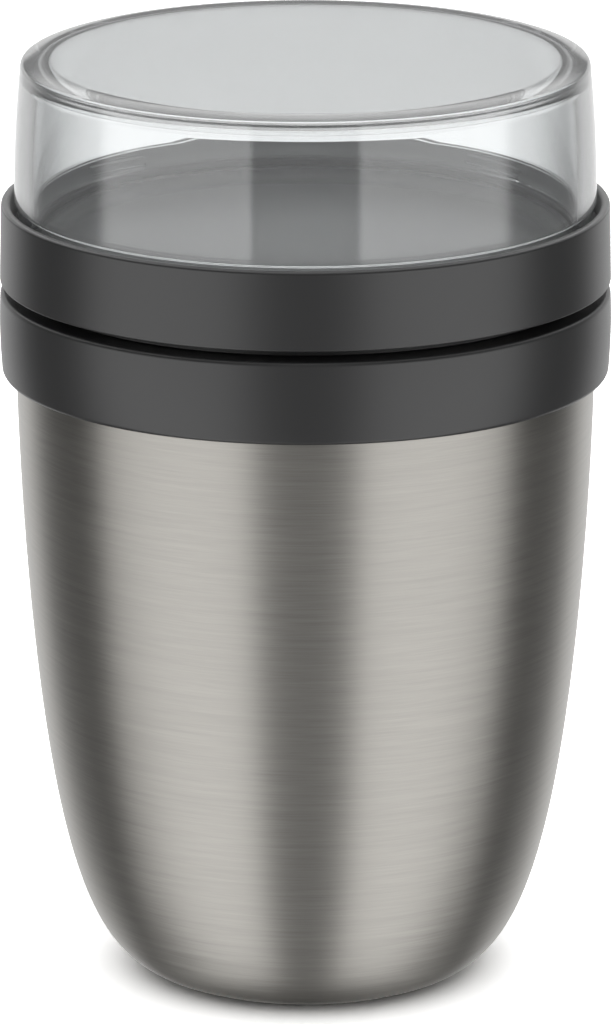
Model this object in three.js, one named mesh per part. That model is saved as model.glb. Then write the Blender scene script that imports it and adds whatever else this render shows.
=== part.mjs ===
// Insulated lunch pot. A vacuum-walled steel bowl carries a moulded collar. A lid ring with a tray
// screws onto the collar, and a clear cover screws into the lid ring, over the tray.
// Millimetres, +Z up. The origin is on the surface that the pot stands on, below its axis.
import * as THREE from 'three';

// Steel bowl: a superellipse turned about the axis, cut flat at the foot
const BODY_RADIUS = 50.8;
const BODY_HEIGHT = 112;
const BASE_RADIUS = 26.4;
const SIDE_POWER = 1.526;
const CORNER_POWER = 6.3;
const SHELL_WALL = 0.8;
const FOOT_FLANGE = 3;
const SHOULDER_RISE = 1;

// Base plate, with the hole that the bowl is evacuated through
const PLATE_WALL = 0.8;
const DIMPLE_RADIUS = 9;
const DIMPLE_SLOPE = 2;
const DIMPLE_RISE = 1.8;
const VENT_RADIUS = 1.2;
const BEAD_RADIUS = 4.6;
const BEAD_HEIGHT = 1.3;
const GETTER_INSET = 7.9;
const GETTER_RADIUS = 4.6;
const GETTER_HEIGHT = 1.8;
const CLIP_WALL = 0.4;

// Liner and what lies round it in the vacuum
const LINER_WALL = 0.6;
const FLOOR_VACUUM = 4.3;
const NECK_VACUUM = 1.8;
const LINER_BASE_RADIUS = 22;
const FOIL_WALL = 0.3;
const FOIL_GAP = 0.4;
const FOIL_SHARE = 0.55;

// Fits between pieces
const SEAT = 0.3;
const RUN = 0.4;
const THREAD_ROOM = 1;

// Collar round the neck, with the spigot that the lid screws onto
const COLLAR_STEP = 2.8;
const COLLAR_HEIGHT = 14.54;
const COLLAR_OVERLAP = 2.6;
const COLLAR_BOW = 0.4;
const COLLAR_WIDEST = 0.62;
const COLLAR_EDGE = 0.8;
const COLLAR_TOP_WALL = 2;
const COLLAR_SLOT = 1.3;
const SPIGOT_HEIGHT = 8.06;
const SPIGOT_WALL = 2.4;
const SPIGOT_CHAMFER = 0.4;
const LIP_DEPTH = 3.8;
const LIP_EDGE = 0.3;

// Lid ring: skirt, tray and rim in one moulding
const COLLAR_GAP = 1.93;
const LID_INSET = 0.1;
const LID_SKIRT_WALL = 2.3;
const LID_DRAFT = 0.3;
const LID_CHAMFER = 0.25;
const FLOOR_WALL = 1.6;
const LEDGE_WALL = 2;
const LEDGE_WIDTH = 5.2;
const TRAY_FILLET = 3.4;
const RIM_DEPTH = 5.3;
const RIM_WALL = 1.55;
const RIM_EDGE = 0.7;

// Plug under the tray, with its foam and its seal
const PLUG_CLEARANCE = 0.8;
const PLUG_DEPTH = 11.2;
const PLUG_WALL = 1.2;
const PLUG_EDGE = 1.5;
const SEAL_THICKNESS = 1.8;
const SEAL_GROOVE = 0.8;
const SEAL_EDGE = 0.4;

// Clear cover and its seal
const COVER_GAP = 0.75;
const COVER_HEIGHT = 29.1;
const COVER_WALL = 3.3;
const COVER_TOP_WALL = 2.3;
const COVER_SIDE_RADIUS = 250;
const COVER_SINK = 1;
const COVER_FOOT_STEP = 0.6;
const COVER_EDGE = 1;
const COVER_CROWN = 13.2;
const COVER_CROWN_TILT = 14;
const COVER_INNER_EDGE = 2.5;
const COVER_SEAL_THICKNESS = 1.2;
const COVER_SEAL_LIP = 0.5;

// Facets
const SIDES = 44;
const SMALL_SIDES = 20;
const SHELL_STEPS = 12;
const LINER_STEPS = 9;
const FOIL_STEPS = 4;
const EDGE_STEPS = 3;
const CROWN_STEPS = 2;
const FILLET_STEPS = 4;
const SIDE_STEPS = 4;

// Radii, from the outside in
const collarRadius = BODY_RADIUS + COLLAR_STEP;
const lidRadius = collarRadius - LID_INSET;
const skirtInner = lidRadius - LID_SKIRT_WALL;
const spigotRadius = skirtInner - THREAD_ROOM;
const spigotInner = spigotRadius - SPIGOT_WALL;
const neckRadius = spigotInner - RUN;
const neckInner = neckRadius - SHELL_WALL;
const linerRadius = neckInner - NECK_VACUUM;
const mouthRadius = linerRadius - LINER_WALL;
const plugRadius = mouthRadius - PLUG_CLEARANCE;
const grooveRadius = plugRadius - SEAL_GROOVE;
const trayStepRadius = spigotInner - RUN;
const rimRadius = lidRadius - LID_DRAFT;
const rimInner = rimRadius - RIM_WALL;
const coverRadius = rimInner - COVER_GAP;
const coverInner = coverRadius - COVER_WALL;

// Heights, from the floor up
const plateBottom = SHELL_WALL + SEAT;
const plateTop = plateBottom + PLATE_WALL;
const linerBottom = plateTop + FLOOR_VACUUM;
const shoulderBottom = BODY_HEIGHT + SHOULDER_RISE;
const shoulderRadius = BODY_RADIUS - neckRadius;
const shoulderTop = shoulderBottom + shoulderRadius;
const collarBottom = BODY_HEIGHT - COLLAR_OVERLAP;
const collarTop = collarBottom + COLLAR_HEIGHT;
const spigotTop = collarTop + SPIGOT_HEIGHT;
const lipTop = spigotTop - LIP_DEPTH;
const neckTop = lipTop - LINER_WALL - SEAT;
const sealBottom = lipTop + SEAT;
const sealTop = sealBottom + SEAL_THICKNESS;
const trayUnder = sealTop + SEAT;
const trayTop = trayUnder + FLOOR_WALL;
const ledgeUnder = spigotTop + RUN;
const ledgeTop = ledgeUnder + LEDGE_WALL;
const lidBottom = collarTop + COLLAR_GAP;
const rimTop = ledgeTop + RIM_DEPTH;
const plugBottom = trayUnder - PLUG_DEPTH;
const plugTop = trayUnder - SEAT;
const coverSealBottom = ledgeTop + SEAT;
const coverSealTop = coverSealBottom + COVER_SEAL_THICKNESS;
const coverFoot = coverSealTop + SEAT;
const coverStep = rimTop - COVER_SINK;
const coverTop = coverFoot + COVER_HEIGHT;

const brushedSteel = { color: 0xb9b7b3, metalness: 1, roughness: 0.34 };
const plainSteel = { color: 0xc4c4c2, metalness: 1, roughness: 0.3 };
const copperFoil = { color: 0xb8754f, metalness: 1, roughness: 0.3 };
const solder = { color: 0x8c8c88, metalness: 0.9, roughness: 0.5 };
const getterMetal = { color: 0x5a5a5c, metalness: 0.8, roughness: 0.7 };
const darkPlastic = { color: 0x38383a, metalness: 0, roughness: 0.42 };
const darkSilicone = { color: 0x2a2a2c, metalness: 0, roughness: 0.7 };
const paleFoam = { color: 0xe9e6dc, metalness: 0, roughness: 0.95 };
const clearPlastic = { color: 0xf4f8f8, metalness: 0, roughness: 0.05, transparent: true, opacity: 0.3 };

const point = (radius, height) => new THREE.Vector2(radius, height);

// Points on a round corner, from one angle to the other in degrees, 0 pointing outward and 90 up
function corner(centreRadius, centreHeight, radius, fromAngle, toAngle, steps) {
  return Array.from({ length: steps + 1 }, (_, i) => {
    const angle = THREE.MathUtils.degToRad(fromAngle + (toAngle - fromAngle) * i / steps);
    return point(centreRadius + radius * Math.cos(angle), centreHeight + radius * Math.sin(angle));
  });
}

// Side of a bowl from its flat base up to where it stands upright. The superellipse is stepped by its
// own angle, which sets the points closest together where the side turns under. A share below 1 keeps
// only the upper part of it.
function bowlSide(radius, baseRadius, bottom, steps, share = 1) {
  const baseAngle = Math.acos((baseRadius / radius) ** (CORNER_POWER / 2));
  const depth = (BODY_HEIGHT - bottom) / Math.sin(baseAngle) ** (2 / SIDE_POWER);
  return Array.from({ length: steps + 1 }, (_, i) => {
    const angle = baseAngle * share * (1 - i / steps);
    const sideRadius = radius * Math.cos(angle) ** (2 / CORNER_POWER);
    return point(sideRadius, BODY_HEIGHT - depth * Math.sin(angle) ** (2 / SIDE_POWER));
  });
}

// Turns an outline about the Z axis. It runs anticlockwise, with radius to the right and height up,
// and either ends on the axis at both ends or is closed here.
function revolve(name, outline, look, sides = SIDES) {
  const onAxis = outline[0].x === 0 && outline.at(-1).x === 0;
  const closed = onAxis ? outline : [...outline, outline[0]];
  const geometry = new THREE.LatheGeometry(closed, sides);
  geometry.rotateX(Math.PI / 2);
  const mesh = new THREE.Mesh(geometry, new THREE.MeshStandardMaterial(look));
  mesh.name = name;
  return mesh;
}

// Outer shell: bowl, shoulder and neck drawn from one sheet, turned in under the foot
function outerShell() {
  const footInner = BASE_RADIUS - FOOT_FLANGE;
  const wall = shoulderRadius - SHELL_WALL;
  return revolve('outer_shell', [
    point(footInner, 0),
    ...bowlSide(BODY_RADIUS, BASE_RADIUS, 0, SHELL_STEPS),
    ...corner(neckRadius, shoulderBottom, shoulderRadius, 0, 90, EDGE_STEPS),
    point(neckRadius, neckTop),
    point(neckInner, neckTop),
    point(neckInner, shoulderTop - SHELL_WALL),
    ...corner(neckRadius, shoulderBottom, wall, 90, 0, EDGE_STEPS),
    ...bowlSide(BODY_RADIUS - SHELL_WALL, BASE_RADIUS, SHELL_WALL, LINER_STEPS).reverse(),
    point(footInner, SHELL_WALL),
  ], brushedSteel);
}

// Base plate: lies on the turned-in foot and closes the vacuum, with a dimple that hides the bead
function basePlate() {
  const plateRadius = BASE_RADIUS - SEAT;
  const slopeRadius = DIMPLE_RADIUS + DIMPLE_SLOPE;
  return revolve('base_plate', [
    point(VENT_RADIUS, plateBottom + DIMPLE_RISE),
    point(DIMPLE_RADIUS, plateBottom + DIMPLE_RISE),
    point(slopeRadius, plateBottom),
    point(plateRadius, plateBottom),
    point(plateRadius, plateTop),
    point(slopeRadius, plateTop),
    point(DIMPLE_RADIUS, plateTop + DIMPLE_RISE),
    point(VENT_RADIUS, plateTop + DIMPLE_RISE),
  ], plainSteel);
}

// Bead: seals the vent from below, with its stem through the vent
function vacuumBead() {
  const beadTop = plateBottom + DIMPLE_RISE - SEAT;
  const stemRadius = VENT_RADIUS - SEAT;
  const stemTop = plateTop + DIMPLE_RISE + SEAT;
  const dome = corner(0, 0, 1, -90, 0, FILLET_STEPS).slice(1);
  return revolve('vacuum_bead', [
    point(0, beadTop - BEAD_HEIGHT),
    ...dome.map((p) => point(BEAD_RADIUS * p.x, beadTop + BEAD_HEIGHT * p.y)),
    point(stemRadius, beadTop),
    point(stemRadius, stemTop),
    point(0, stemTop),
  ], solder, SMALL_SIDES);
}

// Getter: keeps the vacuum, held in a pressed clip on the base plate
function getterPair() {
  const clipBottom = plateTop + SEAT;
  const clipInner = GETTER_RADIUS + SEAT;
  const clipRadius = clipInner + CLIP_WALL;
  const getterBottom = clipBottom + CLIP_WALL + SEAT;
  const getterTop = getterBottom + GETTER_HEIGHT;
  const clip = revolve('getter_clip', [
    point(0, clipBottom),
    point(clipRadius, clipBottom),
    point(clipRadius, getterTop),
    point(clipInner, getterTop),
    point(clipInner, clipBottom + CLIP_WALL),
    point(0, clipBottom + CLIP_WALL),
  ], plainSteel, SMALL_SIDES);
  const getter = revolve('getter', [
    point(0, getterBottom),
    point(GETTER_RADIUS, getterBottom),
    point(GETTER_RADIUS, getterTop),
    point(0, getterTop),
  ], getterMetal, SMALL_SIDES);
  const pair = new THREE.Group();
  pair.add(clip, getter);
  pair.position.x = BASE_RADIUS - GETTER_INSET;
  return pair;
}

// Liner: the food bowl, with a lip that laps over the top of the neck
function innerLiner() {
  const inside = bowlSide(mouthRadius, LINER_BASE_RADIUS, linerBottom + LINER_WALL, LINER_STEPS);
  return revolve('inner_liner', [
    point(0, linerBottom),
    ...bowlSide(linerRadius, LINER_BASE_RADIUS, linerBottom, LINER_STEPS),
    point(linerRadius, lipTop - LINER_WALL),
    point(neckRadius, lipTop - LINER_WALL),
    point(neckRadius, lipTop),
    point(mouthRadius + LIP_EDGE, lipTop),
    point(mouthRadius, lipTop - LIP_EDGE),
    ...inside.reverse(),
    point(0, linerBottom + LINER_WALL),
  ], plainSteel);
}

// Foil wrapped round the upper side of the liner, against radiant heat
function heatFoil() {
  const inner = linerRadius + FOIL_GAP;
  const innerBottom = linerBottom - FOIL_GAP;
  const face = bowlSide(inner, LINER_BASE_RADIUS, innerBottom, FOIL_STEPS, FOIL_SHARE);
  const outerBottom = innerBottom - FOIL_WALL;
  const back = bowlSide(inner + FOIL_WALL, LINER_BASE_RADIUS, outerBottom, FOIL_STEPS, FOIL_SHARE);
  return revolve('heat_foil', [...back, ...face.reverse()], copperFoil);
}

// Collar: a skirt over the steel, a shoulder, and the spigot for the lid, moulded hollow underneath
function neckCollar() {
  const skirtClear = BODY_RADIUS + SEAT;
  const slotInner = skirtClear - COLLAR_SLOT;
  const widest = collarBottom + COLLAR_WIDEST * COLLAR_HEIGHT;
  const outside = Array.from({ length: SIDE_STEPS + 1 }, (_, i) => {
    const height = collarBottom + COLLAR_EDGE + (COLLAR_HEIGHT - 2 * COLLAR_EDGE) * i / SIDE_STEPS;
    const away = (height - widest) / (widest - collarBottom);
    return point(collarRadius - COLLAR_BOW * away * away, height);
  });
  const low = outside[0];
  const high = outside.at(-1);
  return revolve('neck_collar', [
    point(skirtClear, collarBottom),
    ...corner(low.x - COLLAR_EDGE, low.y, COLLAR_EDGE, -90, 0, EDGE_STEPS),
    ...outside.slice(1, -1),
    ...corner(high.x - COLLAR_EDGE, high.y, COLLAR_EDGE, 0, 90, EDGE_STEPS),
    point(spigotRadius, collarTop),
    point(spigotRadius, spigotTop - SPIGOT_CHAMFER),
    point(spigotRadius - SPIGOT_CHAMFER, spigotTop),
    point(spigotInner, spigotTop),
    point(spigotInner, shoulderTop + SEAT),
    point(slotInner, shoulderTop + SEAT),
    point(slotInner, collarTop - COLLAR_TOP_WALL),
    point(skirtClear, collarTop - COLLAR_TOP_WALL),
  ], darkPlastic);
}

// Lid ring: a skirt over the spigot, the tray floor, the ledge for the cover and the rim round it
function lidRing() {
  const ledgeInner = rimInner - LEDGE_WIDTH;
  const slope = ledgeTop - trayTop;
  const fillet = corner(0, 0, 1, -90, 0, FILLET_STEPS).reverse();
  const trayEdge = ledgeInner - TRAY_FILLET;
  return revolve('lid_ring', [
    point(0, trayUnder),
    point(trayStepRadius, trayUnder),
    point(trayStepRadius, ledgeUnder),
    point(skirtInner, ledgeUnder),
    point(skirtInner, lidBottom),
    point(lidRadius - LID_CHAMFER, lidBottom),
    point(lidRadius, lidBottom + LID_CHAMFER),
    ...corner(rimRadius - RIM_EDGE, rimTop - RIM_EDGE, RIM_EDGE, 0, 90, EDGE_STEPS),
    point(rimInner + LID_CHAMFER, rimTop),
    point(rimInner, rimTop - LID_CHAMFER),
    point(rimInner, ledgeTop),
    ...fillet.map((p) => point(trayEdge + TRAY_FILLET * p.x, ledgeTop + slope * p.y)),
    point(0, trayTop),
  ], darkPlastic);
}

// Plug: a cup under the tray that reaches into the mouth of the bowl, grooved for the seal
function lidPlug() {
  const cupInner = grooveRadius - PLUG_WALL;
  const cupFloor = plugBottom + PLUG_WALL;
  const innerEdge = PLUG_EDGE - PLUG_WALL / 2;
  return revolve('lid_plug', [
    point(0, plugBottom),
    ...corner(plugRadius - PLUG_EDGE, plugBottom + PLUG_EDGE, PLUG_EDGE, -90, 0, EDGE_STEPS),
    point(plugRadius, sealBottom - SEAT),
    point(grooveRadius, sealBottom - SEAT),
    point(grooveRadius, plugTop),
    point(cupInner, plugTop),
    point(cupInner, cupFloor + innerEdge),
    point(cupInner - innerEdge, cupFloor),
    point(0, cupFloor),
  ], darkPlastic);
}

// Foam: fills the plug
function lidFoam() {
  const foamRadius = grooveRadius - PLUG_WALL - SEAT;
  const foamBottom = plugBottom + PLUG_WALL + SEAT;
  return revolve('lid_foam', [
    point(0, foamBottom),
    point(foamRadius - PLUG_EDGE, foamBottom),
    point(foamRadius, foamBottom + PLUG_EDGE),
    point(foamRadius, plugTop),
    point(0, plugTop),
  ], paleFoam);
}

// Lid seal: a flat ring in the plug's groove, pressed down on the lip of the liner
function lidSeal() {
  const inner = grooveRadius + SEAT;
  const outer = trayStepRadius - SEAT;
  return revolve('lid_seal', [
    point(inner, sealBottom),
    point(outer - SEAL_EDGE, sealBottom),
    point(outer, sealBottom + SEAL_EDGE),
    point(outer, sealTop - SEAL_EDGE),
    point(outer - SEAL_EDGE, sealTop),
    point(inner, sealTop),
  ], darkSilicone);
}

// Clear cover: an upturned dish with a gently arched side, a crowned margin round its flat top and a
// stepped foot
function clearCover() {
  const outsideAt = (height) => {
    const rise = height - coverStep;
    return coverRadius - COVER_SIDE_RADIUS + Math.sqrt(COVER_SIDE_RADIUS ** 2 - rise ** 2);
  };
  const sidePoints = (low, high, inset) => Array.from({ length: SIDE_STEPS + 1 }, (_, i) => {
    const height = low + (high - low) * i / SIDE_STEPS;
    return point(outsideAt(height) - inset, height);
  });
  const roof = coverTop - COVER_TOP_WALL;
  const tilt = THREE.MathUtils.degToRad(COVER_CROWN_TILT);
  const crownReach = COVER_CROWN - COVER_EDGE;
  const crownHeight = coverTop - COVER_CROWN;
  const edgeHeight = crownHeight + crownReach * Math.cos(tilt);
  const inside = sidePoints(coverStep, roof - COVER_INNER_EDGE, COVER_WALL);
  const outside = sidePoints(coverStep + COVER_FOOT_STEP, edgeHeight, 0);
  const inHigh = inside.at(-1);
  const edgeRadius = outside.at(-1).x - COVER_EDGE;
  const crownRadius = edgeRadius - crownReach * Math.sin(tilt);
  const crownStart = 90 - COVER_CROWN_TILT;
  const footRadius = coverRadius - COVER_FOOT_STEP;
  return revolve('clear_cover', [
    point(0, roof),
    ...corner(inHigh.x - COVER_INNER_EDGE, inHigh.y, COVER_INNER_EDGE, 90, 0, FILLET_STEPS),
    ...inside.slice(0, -1).reverse(),
    point(coverInner, coverFoot),
    point(footRadius, coverFoot),
    point(footRadius, coverStep),
    ...outside.slice(0, -1),
    ...corner(edgeRadius, edgeHeight, COVER_EDGE, 0, crownStart, EDGE_STEPS),
    ...corner(crownRadius, crownHeight, COVER_CROWN, crownStart, 90, CROWN_STEPS).slice(1),
    point(0, coverTop),
  ], clearPlastic);
}

// Cover seal: a flat ring under the foot of the cover, on the ledge of the lid ring
function coverSeal() {
  const inner = coverInner - COVER_SEAL_LIP;
  const outer = rimInner - RUN;
  return revolve('cover_seal', [
    point(inner, coverSealBottom),
    point(outer, coverSealBottom),
    point(outer, coverSealTop),
    point(inner, coverSealTop),
  ], darkSilicone);
}

const pot = new THREE.Group();
pot.add(outerShell(), basePlate(), vacuumBead(), getterPair(), innerLiner(), heatFoil(), neckCollar());

const lid = new THREE.Group();
lid.add(lidRing(), lidPlug(), lidFoam(), lidSeal());

const cover = new THREE.Group();
cover.add(clearCover(), coverSeal());

const lunchPot = new THREE.Group();
lunchPot.add(pot, lid, cover);

export default lunchPot;
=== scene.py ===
# Insulated lunch pot. A brushed steel bowl carries a moulded collar, a lid ring with a tray screws onto
# the collar, and a clear cover screws into the lid ring.
# Sizes are written in millimetres and become metres where a mesh is made. +Z is up, -Y faces the viewer.
import math

import bpy
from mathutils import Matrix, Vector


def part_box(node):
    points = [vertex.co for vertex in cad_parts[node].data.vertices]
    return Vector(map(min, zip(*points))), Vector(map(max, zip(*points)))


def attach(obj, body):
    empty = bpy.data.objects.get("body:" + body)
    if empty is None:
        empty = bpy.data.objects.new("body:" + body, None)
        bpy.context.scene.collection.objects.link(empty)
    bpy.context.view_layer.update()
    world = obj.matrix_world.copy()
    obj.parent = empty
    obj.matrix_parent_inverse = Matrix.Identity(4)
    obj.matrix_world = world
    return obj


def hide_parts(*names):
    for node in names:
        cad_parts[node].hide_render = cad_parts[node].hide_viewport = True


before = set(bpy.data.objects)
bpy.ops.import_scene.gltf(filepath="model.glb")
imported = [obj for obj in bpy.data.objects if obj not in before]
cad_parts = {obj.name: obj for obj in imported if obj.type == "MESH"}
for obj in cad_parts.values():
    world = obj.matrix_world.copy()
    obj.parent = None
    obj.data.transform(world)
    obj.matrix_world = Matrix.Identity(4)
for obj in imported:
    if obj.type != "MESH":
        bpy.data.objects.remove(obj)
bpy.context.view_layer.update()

MM = 0.001

# Photograph: a long lens, above and in front of the pot, with its place in metres
PHOTO_HEIGHT_PX = 1024
FOCAL_PX = 7575
SENSOR_WIDTH = 36
CAMERA_PLACE = (0, -1.2883, 0.4469)
CAMERA_TILT = 74.219
CAMERA_REACH = 50

# Steel bowl, a superellipse turned about the axis and cut flat at the foot
BODY_RADIUS = 50.8
BODY_HEIGHT = 112
BASE_RADIUS = 26.4
SIDE_POWER = 1.526
CORNER_POWER = 6.3
SHELL_WALL = 0.8
FOOT_INNER = 23.4
FOOT_EDGE = 0.7
FOOT_EDGE_REACH = 1.6
NECK_RADIUS = 47.4
NECK_TOP = 127.3
SHOULDER_BOTTOM = 113

# Base plate with its dimple, and the bead that seals the vent
PLATE_BOTTOM = 1.1
PLATE_WALL = 0.8
PLATE_RADIUS = 26.1
DIMPLE_RADIUS = 9
DIMPLE_SLOPE = 2
DIMPLE_RISE = 1.8
DIMPLE_TIGHT_BEND = 0.7
DIMPLE_WIDE_BEND = 1.1
VENT_RADIUS = 1.2
BEAD_RADIUS = 4.6
BEAD_HEIGHT = 1.3
SEAT = 0.3

# Liner
LINER_RADIUS = 44.8
LINER_WALL = 0.6
LINER_BOTTOM = 6.2
LINER_BASE_RADIUS = 22
LIP_TOP = 128.2
LIP_ROUND = 0.29
LIP_DEPTH = 2

# Collar round the neck, with the spigot that the lid screws onto
COLLAR_BOTTOM = 109.4
COLLAR_TOP = 123.94
COLLAR_BOW = 0.4
COLLAR_WIDEST = 0.62
COLLAR_EDGE = 0.8
COLLAR_INNER = 51.1
COLLAR_SLOT = 49.8
COLLAR_SLOT_TOP = 121.94
COLLAR_SEAT = 116.7
SPIGOT_RADIUS = 50.2
SPIGOT_INNER = 47.8
SPIGOT_TOP = 132
RELIEF_RADIUS = 48.7
RELIEF_TOP = 125.5
RELIEF_SLOPE = 0.6

# Lid ring: skirt, tray, ledge and rim in one moulding
LID_RADIUS = 53.5
LID_BOTTOM = 125.87
SKIRT_INNER = 51.2
RIM_RADIUS = 53.2
RIM_INNER = 51.65
RIM_TOP = 139.7
RIM_EDGE = 0.7
TRAY_UNDER = 130.6
TRAY_TOP = 132.2
TRAY_STEP = 47.4
LEDGE_UNDER = 132.4
LEDGE_TOP = 134.4
LEDGE_INNER = 46.45
LEDGE_ROUND = 0.5
RIM_INNER_ROUND = 0.65
TRAY_FILLET = 3.4

# Plug under the tray, and its seal
PLUG_RADIUS = 43.4
PLUG_BOTTOM = 119.4
PLUG_TOP = 130.3
PLUG_GROOVE = 42.6
PLUG_WALL = 1.2
PLUG_EDGE = 1.5
SEAL_BOTTOM = 128.5
SEAL_TOP = 130.3
SEAL_OUTER = 47.1
SEAL_ROUND = 0.6

# Clear cover and its seal
COVER_RADIUS = 50.9
COVER_WALL = 3.3
COVER_FOOT = 136.2
COVER_FOOT_RADIUS = 50.3
COVER_FOOT_TAPER = 0.36
COVER_FOOT_TAPER_RISE = 0.6
COVER_FOOT_TOP = 139.72
COVER_STEP_TOP = 140.05
COVER_WIDEST = 138.7
COVER_TOP = 165.3
COVER_TOP_WALL = 2.3
COVER_SIDE_RADIUS = 250
COVER_CROWN = 9.6
COVER_CROWN_TILT = 20
COVER_EDGE = 1
COVER_INNER_EDGE = 2.5
COVER_SEAL_BOTTOM = 134.7
COVER_SEAL_TOP = 135.9
COVER_SEAL_INNER = 47.1
COVER_SEAL_OUTER = 51.25

# Screw threads: four ribs each, that rise by the lead in one turn. The cover has short lugs instead.
# A rib is sunk into its wall, reaches out of it, and starts at a height and sweeps round in degrees.
THREAD_LEAD = 12
THREAD_STARTS = 4
RIB_SUNK = 0.35
RIB_ROUND = 0.14
RIB_ROUND_STEPS = 2
RIB_ROUND_ANGLE = math.radians(30)
RIB_CREST = 0.45
RIB_STEP_TURN = 3
RIB_LEAST_STEPS = 4
RIB_REACH = 0.6
RIB_HEIGHT = 1
COLLAR_RIB_START = 127.95
COLLAR_RIB_SWEEP = 85
LID_RIB_START = 126.45
LID_RIB_SWEEP = 80
LUG_REACH = 0.8
LUG_HEIGHT = 0.7
LUG_SWEEP = 16
LUG_TURN = 37
RIM_LUG_START = 137.75
COVER_LUG_START = 136.75

# Small rounds on edges of the mouldings
TINY_ROUND = 0.2
FINE_ROUND = 0.3
SMALL_ROUND = 0.4

# Meshes
ROUND_STEPS = 192
SMALL_STEPS = 64
BOWL_STEPS = 72
SIDE_STEPS = 20
ARC_STEPS = 6
FILLET_STEPS = 10
DOME_STEPS = 12
CROWN_STEPS = 14
DOUBLES = 1e-6
SMOOTH_ANGLE = math.radians(32)
FLAT_WEIGHT = 80


def arc(centre_r, centre_z, radius, start, end, steps=ARC_STEPS):
    """Points on a round corner, from one angle to the other in degrees, 0 pointing out and 90 up."""
    angles = [math.radians(start + (end - start) * i / steps) for i in range(steps + 1)]
    return [(centre_r + radius * math.cos(a), centre_z + radius * math.sin(a)) for a in angles]


def rounded(corners):
    """Outline through corners (radius, height, round), each one rounded off by its own radius."""
    outline = []
    for i, (r, z, size) in enumerate(corners):
        if not size:
            outline.append((r, z))
            continue
        before = corners[i - 1]
        after = corners[(i + 1) % len(corners)]
        angle_in = math.atan2(before[1] - z, before[0] - r)
        angle_out = math.atan2(after[1] - z, after[0] - r)
        turn = (angle_out - angle_in + math.pi) % (2 * math.pi) - math.pi
        middle = angle_in + turn / 2
        reach = size / math.sin(abs(turn) / 2)
        sweep = math.copysign(math.pi - abs(turn), turn)
        start = middle + math.pi + sweep / 2
        centre_r = r + reach * math.cos(middle)
        centre_z = z + reach * math.sin(middle)
        outline += arc(centre_r, centre_z, size, math.degrees(start), math.degrees(start - sweep))
    return outline


def bowl_side(radius, base_radius, bottom, steps=BOWL_STEPS):
    """Side of a bowl from its flat base up to where it stands upright."""
    base_angle = math.acos((base_radius / radius) ** (CORNER_POWER / 2))
    depth = (BODY_HEIGHT - bottom) / math.sin(base_angle) ** (2 / SIDE_POWER)
    side = []
    for i in range(steps + 1):
        angle = base_angle * (1 - i / steps)
        side_r = radius * math.cos(angle) ** (2 / CORNER_POWER)
        side.append((side_r, BODY_HEIGHT - depth * math.sin(angle) ** (2 / SIDE_POWER)))
    return side


def turned(name, outline, steps=ROUND_STEPS):
    """Spins an outline of (radius, height) points once about the upright axis."""
    bpy.ops.object.select_all(action="DESELECT")
    bpy.ops.mesh.primitive_plane_add(size=MM)
    piece = bpy.context.object
    piece.name = name
    piece.data.name = name
    bpy.ops.object.mode_set(mode="EDIT")
    bpy.ops.mesh.select_all(action="SELECT")
    bpy.ops.mesh.merge(type="CENTER")
    bpy.ops.mesh.select_all(action="SELECT")
    last_r, last_z = outline[0]
    bpy.ops.transform.translate(value=(last_r * MM, 0, last_z * MM))
    for r, z in outline[1:]:
        step = ((r - last_r) * MM, 0, (z - last_z) * MM)
        bpy.ops.mesh.extrude_vertices_move(TRANSFORM_OT_translate={"value": step})
        last_r, last_z = r, z
    bpy.ops.mesh.select_all(action="SELECT")
    bpy.ops.mesh.spin(steps=steps, angle=2 * math.pi, center=(0, 0, 0), axis=(0, 0, 1))
    bpy.ops.mesh.select_all(action="SELECT")
    bpy.ops.mesh.remove_doubles(threshold=DOUBLES)
    bpy.ops.mesh.normals_make_consistent(inside=False)
    bpy.ops.object.mode_set(mode="OBJECT")
    bpy.ops.object.shade_smooth_by_angle(angle=SMOOTH_ANGLE)
    return piece


def closed(outline):
    """An outline that is joined up by ending where it starts."""
    return outline + outline[:1]


def apply_modifier(piece, kind, **settings):
    bpy.ops.object.select_all(action="DESELECT")
    piece.select_set(True)
    bpy.context.view_layer.objects.active = piece
    bpy.ops.object.modifier_add(type=kind)
    modifier = piece.modifiers[-1]
    for key, value in settings.items():
        setattr(modifier, key, value)
    bpy.ops.object.modifier_apply(modifier=modifier.name)


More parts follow.
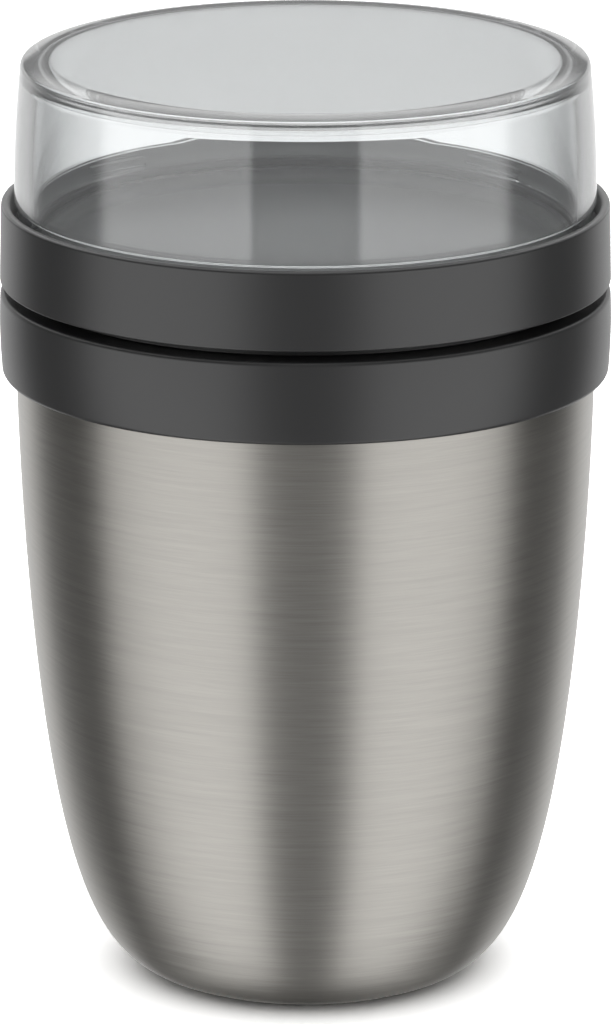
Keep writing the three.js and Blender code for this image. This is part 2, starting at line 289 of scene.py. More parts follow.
def thread_ribs(root, crest, middle, height, sweep, turn=0):
    """Ribs of a screw thread: one rib is swept up its helix, then copied round the axis.
    middle is the height of the rib's start, sweep is how far round it goes and turn where it starts,
    in degrees."""
    bpy.ops.object.select_all(action="DESELECT")
    bpy.ops.mesh.primitive_plane_add(size=1, rotation=(math.pi / 2, 0, 0))
    ribs = bpy.context.object
    bpy.ops.object.transform_apply(location=False, rotation=True, scale=False)
    bpy.ops.object.mode_set(mode="EDIT")
    bpy.ops.mesh.select_all(action="SELECT")
    size = (abs(crest - root) * MM, 1, height * MM)
    bpy.ops.transform.resize(value=size, center_override=(0, 0, 0))
    place = ((root + crest) / 2 * MM, 0, middle * MM)
    bpy.ops.transform.translate(value=place)
    bpy.ops.mesh.select_all(action="DESELECT")
    bpy.ops.object.mode_set(mode="OBJECT")
    for vertex in ribs.data.vertices:
        vertex.select = abs(vertex.co.x - crest * MM) < DOUBLES
    bpy.ops.object.mode_set(mode="EDIT")
    bpy.ops.transform.resize(value=(1, 1, RIB_CREST), center_override=(crest * MM, 0, middle * MM))
    bpy.ops.object.mode_set(mode="OBJECT")
    rise = THREAD_LEAD * sweep / 360 * MM
    steps = max(RIB_LEAST_STEPS, round(sweep / RIB_STEP_TURN))
    apply_modifier(ribs, "SCREW", angle=math.radians(sweep), screw_offset=rise, steps=steps,
                   render_steps=steps, use_smooth_shade=False)
    bpy.ops.object.mode_set(mode="EDIT")
    bpy.ops.mesh.select_all(action="SELECT")
    bpy.ops.mesh.fill_holes(sides=4)
    bpy.ops.mesh.select_all(action="SELECT")
    bpy.ops.mesh.normals_make_consistent(inside=False)
    bpy.ops.object.mode_set(mode="OBJECT")
    apply_modifier(ribs, "BEVEL", width=RIB_ROUND * MM, segments=RIB_ROUND_STEPS, limit_method="ANGLE",
                   angle_limit=RIB_ROUND_ANGLE)
    bpy.ops.object.mode_set(mode="EDIT")
    bpy.ops.mesh.select_all(action="SELECT")
    for _ in range(THREAD_STARTS - 1):
        bpy.ops.mesh.duplicate()
        bpy.ops.transform.rotate(value=2 * math.pi / THREAD_STARTS, orient_axis="Z",
                                 center_override=(0, 0, 0))
    bpy.ops.mesh.select_all(action="SELECT")
    bpy.ops.transform.rotate(value=-math.radians(turn), orient_axis="Z", center_override=(0, 0, 0))
    bpy.ops.object.mode_set(mode="OBJECT")
    return ribs


def fuse(piece, ribs):
    """Joins thread ribs to the wall that they stand on."""
    apply_modifier(piece, "BOOLEAN", operation="UNION", solver="EXACT", object=ribs)
    bpy.data.objects.remove(ribs)
    bpy.ops.object.shade_smooth_by_angle(angle=SMOOTH_ANGLE)


def even_shading(piece):
    """Lets the large faces lead the shading, so that flats stay flat beside their round edges."""
    apply_modifier(piece, "WEIGHTED_NORMAL", keep_sharp=True, weight=FLAT_WEIGHT)


# Finishes. Scales of noise are per metre, and depths are in millimetres.

NOISE_RANGE = (0.3, 0.7)
BROAD_ALONG = 0.4
BROAD_ACROSS = 0.22
BROAD_SHARE = 0.42
MARK_BUMP = 0.12
MARK_DEPTH = 0.02
QUARTER_TURN = 0.25
CLOUD_SCALE = 45
CLOUD_SHARE = 0.5
GRAIN_DEPTH = 0.03
SHEEN_ROUGHNESS = 0.4
HAZE_SCALE = 60
HAZE_ROUGHNESS = 0.03
CLEAR_TINT = (0.952, 0.967, 0.971, 1)
CLEAR_IOR = 1.56
CLEAR_TRANSMISSION = 0.915


def new_finish(name):
    finish = bpy.data.materials.new(name)
    finish.use_nodes = True
    return finish, finish.node_tree.nodes, finish.node_tree.links


def feed(links, place, value):
    """Sets an input to a number, or links it to an output."""
    if isinstance(value, (int, float)):
        place.default_value = value
    else:
        links.new(value, place)


def reckon(nodes, links, operation, *values):
    sum_node = nodes.new("ShaderNodeMath")
    sum_node.operation = operation
    for place, value in zip(sum_node.inputs, values):
        feed(links, place, value)
    return sum_node.outputs["Value"]


def blend(nodes, links, factor, first, second):
    """Goes from the first value to the second as the factor goes from 0 to 1."""
    mix = nodes.new("ShaderNodeMix")
    mix.data_type = "FLOAT"
    feed(links, mix.inputs["Factor"], factor)
    feed(links, mix.inputs["A"], first)
    feed(links, mix.inputs["B"], second)
    return mix.outputs["Result"]


def blend_colours(nodes, links, factor, first, second):
    mix = nodes.new("ShaderNodeMix")
    mix.data_type = "RGBA"
    mix.inputs["A"].default_value = (*first, 1)
    mix.inputs["B"].default_value = (*second, 1)
    links.new(factor, mix.inputs["Factor"])
    return mix.outputs["Result"]


def stretched_noise(nodes, links, scale, detail=3, roughness=0.55):
    """Noise on the piece's own coordinates, stretched by a scale for each direction."""
    coordinates = nodes.new("ShaderNodeTexCoord")
    mapping = nodes.new("ShaderNodeMapping")
    mapping.inputs["Scale"].default_value = scale
    noise = nodes.new("ShaderNodeTexNoise")
    noise.inputs["Scale"].default_value = 1
    noise.inputs["Detail"].default_value = detail
    noise.inputs["Roughness"].default_value = roughness
    links.new(coordinates.outputs["Object"], mapping.inputs["Vector"])
    links.new(mapping.outputs["Vector"], noise.inputs["Vector"])
    return noise.outputs["Fac"]


def spread(nodes, links, value, low, high):
    """Maps a noise value onto the range from low to high."""
    ranged = nodes.new("ShaderNodeMapRange")
    ranged.inputs["From Min"].default_value = NOISE_RANGE[0]
    ranged.inputs["From Max"].default_value = NOISE_RANGE[1]
    ranged.inputs["To Min"].default_value = low
    ranged.inputs["To Max"].default_value = high
    links.new(value, ranged.inputs["Value"])
    return ranged.outputs["Result"]


def add_bump(nodes, links, shader, height, strength, depth):
    bump = nodes.new("ShaderNodeBump")
    bump.inputs["Strength"].default_value = strength
    bump.inputs["Distance"].default_value = depth * MM
    links.new(height, bump.inputs["Height"])
    links.new(bump.outputs["Normal"], shader.inputs["Normal"])


def brushed_steel(name, dark, light, rough, anisotropy, streak):
    """Steel with fine brush marks that run round the axis. streak is the scale of the marks, along the
    mark and across it, and rough is the range of the roughness."""
    finish, nodes, links = new_finish(name)
    shader = nodes["Principled BSDF"]
    along, across = streak
    fine = stretched_noise(nodes, links, (along, along, across), detail=4, roughness=0.65)
    wide = (along * BROAD_ALONG, along * BROAD_ALONG, across * BROAD_ACROSS)
    broad = stretched_noise(nodes, links, wide, detail=2)
    marks = blend(nodes, links, BROAD_SHARE, fine, broad)
    tone = spread(nodes, links, marks, 0, 1)
    links.new(blend_colours(nodes, links, tone, dark, light), shader.inputs["Base Color"])
    links.new(spread(nodes, links, marks, *rough), shader.inputs["Roughness"])
    add_bump(nodes, links, shader, fine, MARK_BUMP, MARK_DEPTH)
    shader.inputs["Metallic"].default_value = 1
    shader.inputs["Anisotropic"].default_value = anisotropy
    shader.inputs["Anisotropic Rotation"].default_value = QUARTER_TURN
    tangent = nodes.new("ShaderNodeTangent")
    tangent.direction_type = "RADIAL"
    tangent.axis = "Z"
    links.new(tangent.outputs["Tangent"], shader.inputs["Tangent"])
    return finish


def grained(name, dark, light, rough, grain, bump, metallic=0, specular=0.5, sheen=0):
    """A finish with a fine even grain. grain is its scale, bump its strength, and rough the range of
    the roughness."""
    finish, nodes, links = new_finish(name)
    shader = nodes["Principled BSDF"]
    fine = stretched_noise(nodes, links, (grain,) * 3)
    cloud = stretched_noise(nodes, links, (CLOUD_SCALE,) * 3, detail=2)
    tone = spread(nodes, links, blend(nodes, links, CLOUD_SHARE, fine, cloud), 0, 1)
    links.new(blend_colours(nodes, links, tone, dark, light), shader.inputs["Base Color"])
    links.new(spread(nodes, links, fine, *rough), shader.inputs["Roughness"])
    add_bump(nodes, links, shader, fine, bump, GRAIN_DEPTH)
    shader.inputs["Metallic"].default_value = metallic
    shader.inputs["Specular IOR Level"].default_value = specular
    shader.inputs["Sheen Weight"].default_value = sheen
    shader.inputs["Sheen Roughness"].default_value = SHEEN_ROUGHNESS
    return finish


def clear_finish(name):
    """Clear moulded plastic, with a trace of haze that varies over the surface."""
    finish, nodes, links = new_finish(name)
    shader = nodes["Principled BSDF"]
    haze = stretched_noise(nodes, links, (HAZE_SCALE,) * 3)
    links.new(spread(nodes, links, haze, 0, HAZE_ROUGHNESS), shader.inputs["Roughness"])
    shader.inputs["Base Color"].default_value = CLEAR_TINT
    shader.inputs["IOR"].default_value = CLEAR_IOR
    shader.inputs["Transmission Weight"].default_value = CLEAR_TRANSMISSION
    return finish


SHELL_STEEL = brushed_steel("brushed_steel_round", (0.314, 0.303, 0.284), (0.418, 0.404, 0.377),
                            rough=(0.38, 0.45), anisotropy=0.8, streak=(105, 5200))
LINER_STEEL = brushed_steel("satin_steel_round", (0.56, 0.555, 0.545), (0.66, 0.655, 0.645),
                            rough=(0.26, 0.34), anisotropy=0.6, streak=(40, 3200))
PLATE_STEEL = grained("pressed_steel", (0.55, 0.545, 0.535), (0.62, 0.615, 0.605),
                      rough=(0.30, 0.38), grain=2600, bump=0.05, metallic=1)
MOULDED_GREY = grained("dark_moulding", (0.017, 0.017, 0.0175), (0.022, 0.022, 0.0225),
                       rough=(0.33, 0.40), grain=5200, bump=0.05, specular=0.6)
# Painted light: a lighter copy of the dark moulding for the lid's inner and upward faces, standing for
# the light they catch. Its sheen is a real shading response.
TRAY_PAINTED_LIGHT_GREY = grained("tray_moulding_painted_light", (0.044, 0.044, 0.045), (0.052, 0.052, 0.053),
                    rough=(0.34, 0.42), grain=5200, bump=0.05, specular=0.6, sheen=0.46)
SILICONE = grained("dark_silicone", (0.036, 0.036, 0.037), (0.046, 0.046, 0.047),
                   rough=(0.55, 0.66), grain=3000, bump=0.06)
SOLDER = grained("solder_drop", (0.22, 0.22, 0.21), (0.34, 0.34, 0.32),
                 rough=(0.34, 0.5), grain=900, bump=0.15, metallic=1)
GETTER_METAL = grained("pressed_powder", (0.09, 0.09, 0.092), (0.15, 0.15, 0.152),
                       rough=(0.6, 0.75), grain=2600, bump=0.25, metallic=0.8)
COPPER_FOIL = grained("copper_foil", (0.45, 0.17, 0.075), (0.53, 0.21, 0.095),
                      rough=(0.2, 0.3), grain=320, bump=0.12, metallic=1)
FOAM = grained("pale_foam", (0.70, 0.69, 0.62), (0.80, 0.79, 0.73),
               rough=(0.85, 0.95), grain=1400, bump=0.35)
CLEAR = clear_finish("clear_plastic")


def finish_piece(piece, look, slot, body, *nodes):
    """Gives a piece its finish, and makes it stand for its CAD nodes on their body."""
    piece.data.materials.clear()
    piece.data.materials.append(look)
    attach(piece, body)
    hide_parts(*nodes)


# Steel bowl

def bowl_shell():
    outside = bowl_side(BODY_RADIUS, BASE_RADIUS, 0)
    inside = bowl_side(BODY_RADIUS - SHELL_WALL, BASE_RADIUS, SHELL_WALL)
    shoulder = BODY_RADIUS - NECK_RADIUS
    inner_shoulder = shoulder - SHELL_WALL
    neck_inner = NECK_RADIUS - SHELL_WALL
    shoulder_top = SHOULDER_BOTTOM + shoulder
    above = next(i for i, p in enumerate(outside) if p[1] > FOOT_EDGE * FOOT_EDGE_REACH)
    foot = rounded([(FOOT_INNER, 0, 0), (*outside[0], FOOT_EDGE), (*outside[above], 0)])
    return turned("bowl_shell", closed([
        *foot,
        *outside[above + 1:],
        *arc(NECK_RADIUS, SHOULDER_BOTTOM, shoulder, 0, 90),
        (NECK_RADIUS, NECK_TOP),
        (neck_inner, NECK_TOP),
        (neck_inner, shoulder_top - SHELL_WALL),
        *arc(NECK_RADIUS, SHOULDER_BOTTOM, inner_shoulder, 90, 0),
        *inside[::-1],
        (FOOT_INNER, SHELL_WALL),
    ]))


def foot_plate():
    top = PLATE_BOTTOM + PLATE_WALL
    slope = DIMPLE_RADIUS + DIMPLE_SLOPE
    return turned("foot_plate", closed(rounded([
        (VENT_RADIUS, PLATE_BOTTOM + DIMPLE_RISE, 0),
        (DIMPLE_RADIUS, PLATE_BOTTOM + DIMPLE_RISE, DIMPLE_TIGHT_BEND),
        (slope, PLATE_BOTTOM, DIMPLE_WIDE_BEND),
        (PLATE_RADIUS, PLATE_BOTTOM, 0),
        (PLATE_RADIUS, top, 0),
        (slope, top, DIMPLE_TIGHT_BEND),
        (DIMPLE_RADIUS, top + DIMPLE_RISE, DIMPLE_WIDE_BEND),
        (VENT_RADIUS, top + DIMPLE_RISE, 0),
    ])))


def vent_bead():
    top = PLATE_BOTTOM + DIMPLE_RISE - SEAT
    stem = VENT_RADIUS - SEAT
    stem_top = PLATE_BOTTOM + PLATE_WALL + DIMPLE_RISE + SEAT
    dome = arc(0, 0, 1, -90, 0, DOME_STEPS)
    return turned("vent_bead", [
        *[(BEAD_RADIUS * r, top + BEAD_HEIGHT * z) for r, z in dome],
        (stem, top),
        (stem, stem_top),
        (0, stem_top),
    ], SMALL_STEPS)


def food_liner():
    inner = LINER_RADIUS - LINER_WALL
    floor = LINER_BOTTOM + LINER_WALL
    outside = bowl_side(LINER_RADIUS, LINER_BASE_RADIUS, LINER_BOTTOM)
    inside = bowl_side(inner, LINER_BASE_RADIUS, floor)
    return turned("food_liner", [
        (0, LINER_BOTTOM),
        *outside,
        (LINER_RADIUS, LIP_TOP - LINER_WALL),
        *rounded([
            (LINER_RADIUS, LIP_TOP - LINER_WALL, 0),
            (NECK_RADIUS, LIP_TOP - LINER_WALL, LIP_ROUND),
            (NECK_RADIUS, LIP_TOP, LIP_ROUND),
            (inner, LIP_TOP, LIP_ROUND),
            (inner, LIP_TOP - LIP_DEPTH, 0),
        ])[1:],
        *inside[::-1],
        (0, floor),
    ])


# Collar

def neck_ring():
    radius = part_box("neck_collar")[1].x / MM
    height = COLLAR_TOP - COLLAR_BOTTOM
    widest = COLLAR_BOTTOM + COLLAR_WIDEST * height
    low = COLLAR_BOTTOM + COLLAR_EDGE
    high = COLLAR_TOP - COLLAR_EDGE
    side = []
    for i in range(SIDE_STEPS + 1):
        z = low + (high - low) * i / SIDE_STEPS
        away = (z - widest) / (widest - COLLAR_BOTTOM)
        side.append((radius - COLLAR_BOW * away * away, z))
    ring = turned("neck_ring", closed([
        (COLLAR_INNER, COLLAR_BOTTOM),
        *arc(side[0][0] - COLLAR_EDGE, low, COLLAR_EDGE, -90, 0),
        *side[1:-1],
        *arc(side[-1][0] - COLLAR_EDGE, high, COLLAR_EDGE, 0, 90),
        *rounded([
            (side[-1][0] - COLLAR_EDGE, COLLAR_TOP, 0),
            (RELIEF_RADIUS, COLLAR_TOP, FINE_ROUND),
            (RELIEF_RADIUS, RELIEF_TOP, FINE_ROUND),
            (SPIGOT_RADIUS, RELIEF_TOP + RELIEF_SLOPE, TINY_ROUND),
            (SPIGOT_RADIUS, SPIGOT_TOP, SMALL_ROUND),
            (SPIGOT_INNER, SPIGOT_TOP, SMALL_ROUND),
            (SPIGOT_INNER, COLLAR_SEAT, 0),
            (COLLAR_SLOT, COLLAR_SEAT, 0),
        ])[1:],
        (COLLAR_SLOT, COLLAR_SLOT_TOP),
        (COLLAR_INNER, COLLAR_SLOT_TOP),
    ]))
    ribs = thread_ribs(SPIGOT_RADIUS - RIB_SUNK, SPIGOT_RADIUS + RIB_REACH, COLLAR_RIB_START, RIB_HEIGHT,
                       COLLAR_RIB_SWEEP)
    fuse(ring, ribs)
    return ring


# Lid

def lid_tray():
    fillet = arc(0, 0, 1, 0, -90, FILLET_STEPS)
    slope = LEDGE_TOP - TRAY_TOP
    edge = LEDGE_INNER - TRAY_FILLET
    tray = turned("lid_tray", [
        (0, TRAY_UNDER),
        *rounded([
            (0, TRAY_UNDER, 0),
            (TRAY_STEP, TRAY_UNDER, FINE_ROUND),
            (TRAY_STEP, LEDGE_UNDER, SMALL_ROUND),
            (SKIRT_INNER, LEDGE_UNDER, LEDGE_ROUND),
            (SKIRT_INNER, LID_BOTTOM, FINE_ROUND),
            (LID_RADIUS, LID_BOTTOM, FINE_ROUND),
            (RIM_RADIUS, RIM_TOP, RIM_EDGE),
            (RIM_INNER, RIM_TOP, RIM_INNER_ROUND),
            (RIM_INNER, LEDGE_TOP, SMALL_ROUND),
            (LEDGE_INNER, LEDGE_TOP, 0),
        ])[1:-1],
        *[(edge + TRAY_FILLET * r, LEDGE_TOP + slope * z) for r, z in fillet],
        (0, TRAY_TOP),
    ])
    ribs = thread_ribs(SKIRT_INNER + RIB_SUNK, SKIRT_INNER - RIB_REACH, LID_RIB_START, RIB_HEIGHT,
                       LID_RIB_SWEEP)
    fuse(tray, ribs)
    lugs = thread_ribs(RIM_INNER + RIB_SUNK, RIM_INNER - LUG_REACH, RIM_LUG_START, LUG_HEIGHT, LUG_SWEEP,
                       LUG_TURN)
    fuse(tray, lugs)
    return tray


# Where the painted light goes: faces above the tray that lie inside the rim or face up.
PAINTED_LIGHT_REACH = 0.4
PAINTED_LIGHT_DEPTH = 0.1
FACES_SIDEWAYS = -0.2
FACES_UP = 0.5


def paint_light_on_tray(piece):
    """Paints light on the lid's inner and upward faces (the tray, the ledge and the rim's top): they get
    a lighter copy of the moulding's finish, standing for the light they catch.
    """
    piece.data.materials.append(TRAY_PAINTED_LIGHT_GREY)
    for face in piece.data.polygons:
        middle = face.center / MM
        inside = math.hypot(middle.x, middle.y) < RIM_INNER + PAINTED_LIGHT_REACH
        above = middle.z > TRAY_TOP - PAINTED_LIGHT_DEPTH and face.normal.z > FACES_SIDEWAYS
        if above and (inside or face.normal.z > FACES_UP):
            face.material_index = 1


def plug_cup():
    cup = PLUG_GROOVE - PLUG_WALL
    floor = PLUG_BOTTOM + PLUG_WALL
    groove = SEAL_BOTTOM - SEAT
    return turned("plug_cup", rounded([
        (0, PLUG_BOTTOM, 0),
        (PLUG_RADIUS, PLUG_BOTTOM, PLUG_EDGE),
        (PLUG_RADIUS, groove, FINE_ROUND),
        (PLUG_GROOVE, groove, TINY_ROUND),
        (PLUG_GROOVE, PLUG_TOP, 0),
        (cup, PLUG_TOP, 0),
        (cup, floor, PLUG_EDGE - PLUG_WALL / 2),
        (0, floor, 0),
    ]))


def plug_gasket():
    inner = PLUG_GROOVE + SEAT
    return turned("plug_gasket", closed(rounded([
        (inner, SEAL_BOTTOM, TINY_ROUND),
        (SEAL_OUTER, SEAL_BOTTOM, SEAL_ROUND),
        (SEAL_OUTER, SEAL_TOP, SEAL_ROUND),
        (inner, SEAL_TOP, TINY_ROUND),
    ])))


# Cover

def clear_dome():
    def outside_at(z):
        rise = z - COVER_WIDEST
        return COVER_RADIUS - COVER_SIDE_RADIUS + math.sqrt(COVER_SIDE_RADIUS ** 2 - rise ** 2)

    def side(low, high, inset):
        heights = [low + (high - low) * i / SIDE_STEPS for i in range(SIDE_STEPS + 1)]
        return [(outside_at(z) - inset, z) for z in heights]

    roof = COVER_TOP - COVER_TOP_WALL
    tilt = math.radians(COVER_CROWN_TILT)
    crown_z = COVER_TOP - COVER_CROWN
    edge_z = crown_z + (COVER_CROWN - COVER_EDGE) * math.cos(tilt)
    inside = side(COVER_WIDEST, roof - COVER_INNER_EDGE, COVER_WALL)
    outside = side(COVER_STEP_TOP, edge_z, 0)
    inner_r = COVER_RADIUS - COVER_WALL
    in_r, in_z = inside[-1]
    edge_r = outside[-1][0] - COVER_EDGE
    crown_r = edge_r - (COVER_CROWN - COVER_EDGE) * math.sin(tilt)
    dome = turned("clear_dome", [
        (0, roof),
        *arc(in_r - COVER_INNER_EDGE, in_z, COVER_INNER_EDGE, 90, 0, CROWN_STEPS),
        *inside[-2::-1],
        *rounded([
            (*inside[0], 0),
            (inner_r, COVER_FOOT, 0),
            (COVER_FOOT_RADIUS - COVER_FOOT_TAPER, COVER_FOOT, 0),
            (COVER_FOOT_RADIUS, COVER_FOOT + COVER_FOOT_TAPER_RISE, 0),
            (COVER_FOOT_RADIUS, COVER_FOOT_TOP, FINE_ROUND),
            (*outside[0], FINE_ROUND),
            (*outside[2], 0),
        ])[1:],
        *outside[3:-1],
        *arc(edge_r, edge_z, COVER_EDGE, 0, 90 - COVER_CROWN_TILT, DOME_STEPS),
        *arc(crown_r, crown_z, COVER_CROWN, 90 - COVER_CROWN_TILT, 90, CROWN_STEPS)[1:],
        (0, COVER_TOP),
    ])
    lugs = thread_ribs(COVER_FOOT_RADIUS - RIB_SUNK, COVER_FOOT_RADIUS + LUG_REACH, COVER_LUG_START,
                       LUG_HEIGHT, LUG_SWEEP, LUG_TURN)
    fuse(dome, lugs)
    return dome


def dome_gasket():
    return turned("dome_gasket", closed(rounded([
        (COVER_SEAL_INNER, COVER_SEAL_BOTTOM, FINE_ROUND),
        (COVER_SEAL_OUTER, COVER_SEAL_BOTTOM, FINE_ROUND),
        (COVER_SEAL_OUTER, COVER_SEAL_TOP, FINE_ROUND),
        (COVER_SEAL_INNER, COVER_SEAL_TOP, FINE_ROUND),
    ])))


PIECES = [
    (bowl_shell, SHELL_STEEL, "brushed_shell", "pot", "outer_shell"),
    (foot_plate, PLATE_STEEL, "plain_steel", "pot", "base_plate"),
    (vent_bead, SOLDER, "solder", "pot", "vacuum_bead"),
    (food_liner, LINER_STEEL, "plain_steel", "pot", "inner_liner"),
    (neck_ring, MOULDED_GREY, "dark_plastic", "pot", "neck_collar"),
    (lid_tray, MOULDED_GREY, "dark_plastic", "lid", "lid_ring"),
    (plug_cup, MOULDED_GREY, "dark_plastic", "lid", "lid_plug"),
    (plug_gasket, SILICONE, "dark_silicone", "lid_carrier", "lid_seal"),
    (clear_dome, CLEAR, "clear_plastic", "cover", "clear_cover"),
    (dome_gasket, SILICONE, "dark_silicone", "cover_carrier", "cover_seal"),
]
for make, look, slot, body, node in PIECES:
    piece = make()
    even_shading(piece)
    finish_piece(piece, look, slot, body, node)
    # The lid's inner and upward faces get painted light.
    if make is lid_tray:
        paint_light_on_tray(piece)

HIDDEN_NODES = {
    "getter": GETTER_METAL,
    "getter_clip": PLATE_STEEL,
    "heat_foil": COPPER_FOIL,
    "lid_foam": FOAM,
}
for node, look in HIDDEN_NODES.items():
    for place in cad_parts[node].material_slots:
        place.material = look


# Camera

bpy.ops.object.camera_add(location=CAMERA_PLACE, rotation=(math.radians(CAMERA_TILT), 0, 0))
camera = bpy.context.object
camera.data.sensor_width = SENSOR_WIDTH
camera.data.lens = FOCAL_PX * SENSOR_WIDTH / PHOTO_HEIGHT_PX
camera.data.clip_end = CAMERA_REACH
bpy.context.scene.camera = camera


# Studio: white all round for the eye, with two large soft panels, a soft top light and dark flanks
# that light the pot and show in its metal. An edge is a pair: its light is 0 at the first value and full
# at the second. Edges are in degrees round the pot, from the viewer at 0, or else they are heights of a
# direction, from -1 straight down to 1 straight up.

PANEL_LIGHT = 1.7
PANEL_INNER_EDGE = (19.5, 23.5)
PANEL_OUTER_EDGE = (92, 84)
PANEL_BOTTOM_EDGE = (-0.995, -0.9)
PANEL_TOP_EDGE = (0.3, 0.12)
FLANK_LEAN = 8
FLANK_LEAN_EDGE = (-0.35, -0.6)
CENTRE_LIGHT = 0.2
CENTRE_EDGE = (30, 16)
BACK_LIGHT = 0.27
BACK_EDGE = (125, 146)
BACK_BOTTOM_EDGE = (-0.78, -0.52)
LOW_BACK_LIGHT = 0.75
LOW_BACK_TOP_EDGE = (0.205, 0.14)
TOP_LIGHT = 1.65
TOP_TILT = math.radians(25)
TOP_EDGE = (0.62, 0.8)
DIM_LIGHT = 0.1
DOME_LIGHT = 2.2
DOME_POWER = 2

# Seen through the clear cover, the back is dimmer, and behind both its walls white cards stand all round
SEEN_BACK_SHARE = 0.31
SEEN_BACK_EDGE = (92, 108)
CARD_LIGHT = 1.31
GAP_LIGHT = 0.72
CARD_TURN = 45
CARD_EDGE = (14.5, 4)
CARD_TOP_EDGE = (0.5, 0.25)
FACES_OF_TWO_WALLS = 3.5
FIRST_BOUNCE = 0.5


def soft_step(nodes, links, value, start, end):
    """Rises smoothly from 0 at start to 1 at end."""
    step = nodes.new("ShaderNodeMapRange")
    step.interpolation_type = "SMOOTHSTEP"
    step.inputs["From Min"].default_value = start
    step.inputs["From Max"].default_value = end
    links.new(value, step.inputs["Value"])
    return step.outputs["Result"]


def studio():
    world = bpy.data.worlds.new("studio")
    bpy.context.scene.world = world
    world.use_nodes = True
    world.cycles.sampling_method = "NONE"
    nodes = world.node_tree.nodes
    links = world.node_tree.links

    def height_step(value, edge):
        return soft_step(nodes, links, value, *edge)

    def turn_step(value, edge):
        return soft_step(nodes, links, value, *[math.radians(limit) for limit in edge])

    def product(first, *others):
        for other in others:
            first = reckon(nodes, links, "MULTIPLY", first, other)
        return first

    def add(first, share, second):
        return reckon(nodes, links, "MULTIPLY_ADD", second, share, first)

    coordinates = nodes.new("ShaderNodeTexCoord")
    split = nodes.new("ShaderNodeSeparateXYZ")
    links.new(coordinates.outputs["Generated"], split.inputs["Vector"])
    east, north, up = (split.outputs[k] for k in "XYZ")
    round_angle = reckon(nodes, links, "ARCTAN2", east, product(north, -1))
    angle = reckon(nodes, links, "ABSOLUTE", round_angle)
    flank = add(angle, math.radians(FLANK_LEAN), height_step(up, FLANK_LEAN_EDGE))
    overhead = add(product(north, math.sin(TOP_TILT)), math.cos(TOP_TILT), up)

    panel = product(turn_step(angle, PANEL_INNER_EDGE), turn_step(flank, PANEL_OUTER_EDGE),
                    height_step(up, PANEL_BOTTOM_EDGE), height_step(up, PANEL_TOP_EDGE))
    back = product(turn_step(flank, BACK_EDGE), height_step(up, BACK_BOTTOM_EDGE))
    low_back = product(back, height_step(up, LOW_BACK_TOP_EDGE))
    light = add(DIM_LIGHT, PANEL_LIGHT, panel)
    light = add(light, CENTRE_LIGHT, turn_step(angle, CENTRE_EDGE))
    light = add(light, BACK_LIGHT, back)
    light = add(light, LOW_BACK_LIGHT, low_back)
    light = add(light, TOP_LIGHT, height_step(overhead, TOP_EDGE))

    path = nodes.new("ShaderNodeLightPath")
    unscattered = reckon(nodes, links, "LESS_THAN", path.outputs["Diffuse Depth"], FIRST_BOUNCE)
    seen_through = product(unscattered, path.outputs["Is Transmission Ray"])
    seen_back = product(seen_through, turn_step(angle, SEEN_BACK_EDGE))
    light = product(light, add(1, SEEN_BACK_SHARE - 1, seen_back))
    from_card = reckon(nodes, links, "PINGPONG", angle, math.radians(CARD_TURN / 2))
    card = add(GAP_LIGHT, CARD_LIGHT - GAP_LIGHT, turn_step(from_card, CARD_EDGE))
    crossed = reckon(nodes, links, "GREATER_THAN", path.outputs["Transmission Depth"], FACES_OF_TWO_WALLS)
    crossed = product(crossed, seen_through, height_step(up, CARD_TOP_EDGE))
    light = blend(nodes, links, crossed, light, card)

    above = reckon(nodes, links, "MAXIMUM", up, 0)
    sky = product(reckon(nodes, links, "POWER", above, DOME_POWER), DOME_LIGHT)
    light = blend(nodes, links, path.outputs["Is Diffuse Ray"], light, sky)
    light = blend(nodes, links, path.outputs["Is Camera Ray"], light, 1)
    background = nodes["Background"]
    background.inputs["Color"].default_value = (1, 1, 1, 1)
    links.new(light, background.inputs["Strength"])


# Floor: whiter to the eye than to the light. It shows in the steel only near the foot, given in
# millimetres from the axis, and where it isn't seen at a low slant. There it is a darker grey: painted
# shade on the steel's reflection near the foot.

FLOOR_SIZE = 8
FLOOR_WHITE = 0.85
FLOOR_SEEN_WHITE = 1.9
FLOOR_MIRRORED_SHADE = 0.42
FLOOR_NEAR_EDGE = (33, 43)
FLOOR_SLANT_EDGE = (0.72, 0.5)


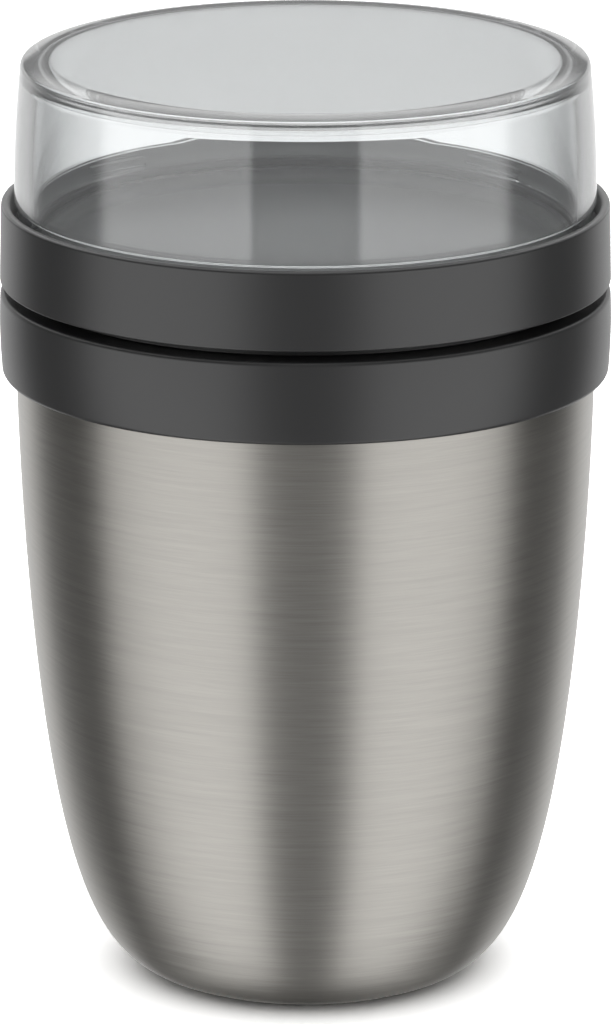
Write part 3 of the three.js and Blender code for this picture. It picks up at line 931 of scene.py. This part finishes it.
def studio_floor():
    bpy.ops.object.select_all(action="DESELECT")
    bpy.ops.mesh.primitive_plane_add(size=FLOOR_SIZE)
    floor = bpy.context.object
    floor.name = "studio_floor"
    finish, nodes, links = new_finish("white_floor")
    nodes.remove(nodes["Principled BSDF"])
    path = nodes.new("ShaderNodeLightPath")
    mirrored = path.outputs["Is Glossy Ray"]
    matt = nodes.new("ShaderNodeBsdfDiffuse")
    white = reckon(nodes, links, "MULTIPLY_ADD", path.outputs["Is Camera Ray"],
                   FLOOR_SEEN_WHITE - FLOOR_WHITE, FLOOR_WHITE)
    # Seen in the steel the floor is darker grey: painted shade on the steel near the foot.
    white = reckon(nodes, links, "MULTIPLY_ADD", mirrored, FLOOR_MIRRORED_SHADE - FLOOR_WHITE, white)
    links.new(white, matt.inputs["Color"])

    place = nodes.new("ShaderNodeTexCoord")
    length = nodes.new("ShaderNodeVectorMath")
    length.operation = "LENGTH"
    links.new(place.outputs["Object"], length.inputs[0])
    away = soft_step(nodes, links, length.outputs["Value"], *[limit * MM for limit in FLOOR_NEAR_EDGE])
    ray = nodes.new("ShaderNodeNewGeometry")
    direction = nodes.new("ShaderNodeSeparateXYZ")
    links.new(ray.outputs["Incoming"], direction.inputs["Vector"])
    slanted = soft_step(nodes, links, direction.outputs["Z"], *FLOOR_SLANT_EDGE)
    unscattered = reckon(nodes, links, "LESS_THAN", path.outputs["Diffuse Depth"], FIRST_BOUNCE)
    slanted = reckon(nodes, links, "MULTIPLY", slanted, unscattered)
    unseen = reckon(nodes, links, "MULTIPLY", mirrored, reckon(nodes, links, "MAXIMUM", away, slanted))
    open_floor = nodes.new("ShaderNodeBsdfTransparent")
    seen = nodes.new("ShaderNodeMixShader")
    links.new(unseen, seen.inputs["Fac"])
    links.new(matt.outputs["BSDF"], seen.inputs[1])
    links.new(open_floor.outputs["BSDF"], seen.inputs[2])
    links.new(seen.outputs["Shader"], nodes["Material Output"].inputs["Surface"])
    floor.data.materials.append(finish)


studio()
studio_floor()
bpy.context.scene.view_settings.view_transform = "Standard"
